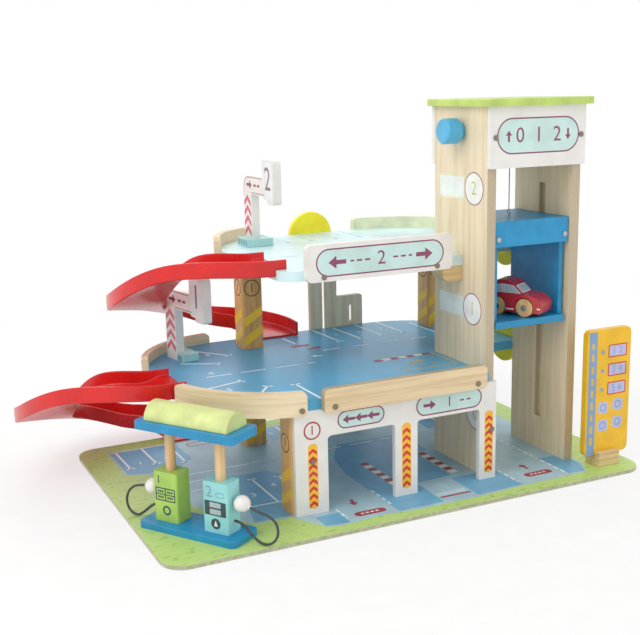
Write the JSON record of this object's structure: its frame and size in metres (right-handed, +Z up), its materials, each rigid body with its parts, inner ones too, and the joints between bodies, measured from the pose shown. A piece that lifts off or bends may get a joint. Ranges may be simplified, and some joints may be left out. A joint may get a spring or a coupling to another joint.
{
  "type": "toy parking garage with lift",
  "caption": "Wooden toy parking garage: printed decks joined by winding ramps, a tower with a knob-driven lift, a toy car, a pump station and a price sign.",
  "frame": {"origin": "centre of the ground board's underside", "axes": "+X to the right along the long side, +Y to the back, +Z up"},
  "size_m": [0.7405, 0.4982, 0.48],
  "materials": {
    "board_print": "printed and lacquered",
    "deck_blue": "printed and lacquered",
    "deck_pale": "printed and lacquered",
    "natural_wood": "clear lacquer",
    "white_paint": "satin paint",
    "lime_paint": "satin paint",
    "sky_paint": "satin paint",
    "cab_paint": "satin paint",
    "yellow_paint": "satin paint",
    "pale_green_paint": "satin paint",
    "ramp_red": "glossy moulding",
    "post_print": "printed and lacquered",
    "pump_green_paint": "satin paint",
    "pump_aqua_paint": "satin paint",
    "island_paint": "satin paint",
    "canopy_paint": "satin paint",
    "price_paint": "satin paint",
    "car_red_paint": "gloss paint",
    "wheel_wood": "clear lacquer",
    "screw_steel": "dark steel",
    "axle_steel": "polished steel",
    "hose_rubber": "matt rubber",
    "nozzle_paint": "satin paint",
    "lift_cord_fibre": "twisted cord"
  },
  "bodies": {
    "garage": {"base_board": "board_print", "deck_1": "deck_blue", "deck_2": "deck_pale", "facade": "white_paint", "rail_deck_1_front": "natural_wood", "rail_deck_1_front_left": "natural_wood", "rail_deck_1_rear_left": "natural_wood", "rail_deck_2_rear_left": "natural_wood", "rail_deck_2_rear_right": "pale_green_paint", "name_board": "white_paint", "deck_2_support_block": "natural_wood", "post_ground_front_left": "post_print", "post_ground_back_left": "post_print", "post_ground_back_right": "post_print", "post_deck_1_back_left": "post_print", "post_deck_1_back_right": "post_print", "rear_panel": "natural_wood", "tower_panel_left": "natural_wood", "tower_panel_right": "natural_wood", "tower_header_front": "white_paint", "tower_header_back": "natural_wood", "tower_roof": "lime_paint", "ramp_upper": "ramp_red", "ramp_lower": "ramp_red", "level_sign_1": "white_paint", "level_sign_2": "white_paint", "sign_base_1": "deck_pale", "sign_base_2": "deck_pale", "guard_disc_right_1": "yellow_paint", "guard_disc_right_2": "yellow_paint", "guard_disc_rear": "yellow_paint", "panel_screws": "screw_steel", "lift_cord": "lift_cord_fibre"},
    "knob": {"lift_knob": "sky_paint", "lift_spindle": "natural_wood", "spindle_collar": "natural_wood"},
    "cab": {"cab_floor": "cab_paint", "cab_wall_left": "cab_paint", "cab_wall_right": "cab_paint", "cab_header": "cab_paint", "cab_roof": "cab_paint", "cab_runner_left": "natural_wood", "cab_runner_right": "natural_wood", "cab_screw_eye": "axle_steel", "cab_screws": "screw_steel"},
    "car": {"car_body": "car_red_paint"},
    "front_axle": {"car_axle_front": "axle_steel", "car_wheels_front": "wheel_wood"},
    "rear_axle": {"car_axle_rear": "axle_steel", "car_wheels_rear": "wheel_wood"},
    "pump_station": {"pump_island": "island_paint", "pump_1": "pump_green_paint", "pump_2": "pump_aqua_paint", "canopy_dowels": "natural_wood", "canopy_plate": "island_paint", "canopy_roof": "canopy_paint", "hose_1": "hose_rubber", "hose_2": "hose_rubber", "nozzle_1": "nozzle_paint", "nozzle_2": "nozzle_paint"},
    "price_sign": {"price_board": "price_paint", "price_sign_block": "natural_wood"}
  },
  "joints": [
    {"name": "lift_slide", "type": "slide", "parent": "garage", "child": "cab", "axis": [0, 0, 1], "range_m": [-0.1898, 0.0807], "deforming": ["lift_cord"]},
    {"name": "knob_turn", "type": "hinge", "parent": "garage", "child": "knob", "pos_m": [0.1056, -0.083, 0.441], "axis": [-1, 0, 0], "range_deg": [-1630, 695]},
    {"name": "car_roll", "type": "slide", "parent": "cab", "child": "car", "axis": [0.5, -0.866, 0], "range_m": [-0.02, 0.03]},
    {"name": "front_wheels_turn", "type": "hinge", "parent": "car", "child": "front_axle", "pos_m": [0.2014, -0.12145, 0.2163], "axis": [0.866, 0.5, 0], "continuous": true},
    {"name": "rear_wheels_turn", "type": "hinge", "parent": "car", "child": "rear_axle", "pos_m": [0.1824, -0.08855, 0.2163], "axis": [0.866, 0.5, 0], "continuous": true},
    {"name": "pump_station_lift", "type": "slide", "parent": "garage", "child": "pump_station", "axis": [0, 0, 1], "range_m": [0, 0.15]},
    {"name": "price_sign_lift", "type": "slide", "parent": "garage", "child": "price_sign", "axis": [0, 0, 1], "range_m": [0, 0.15]}
  ],
  "couplings": [
    {"joint": "knob_turn", "follows": "lift_slide", "rad_per_m": 149.25},
    {"joint": "front_wheels_turn", "follows": "car_roll", "rad_per_m": 85.47},
    {"joint": "rear_wheels_turn", "follows": "car_roll", "rad_per_m": 85.47}
  ]
}
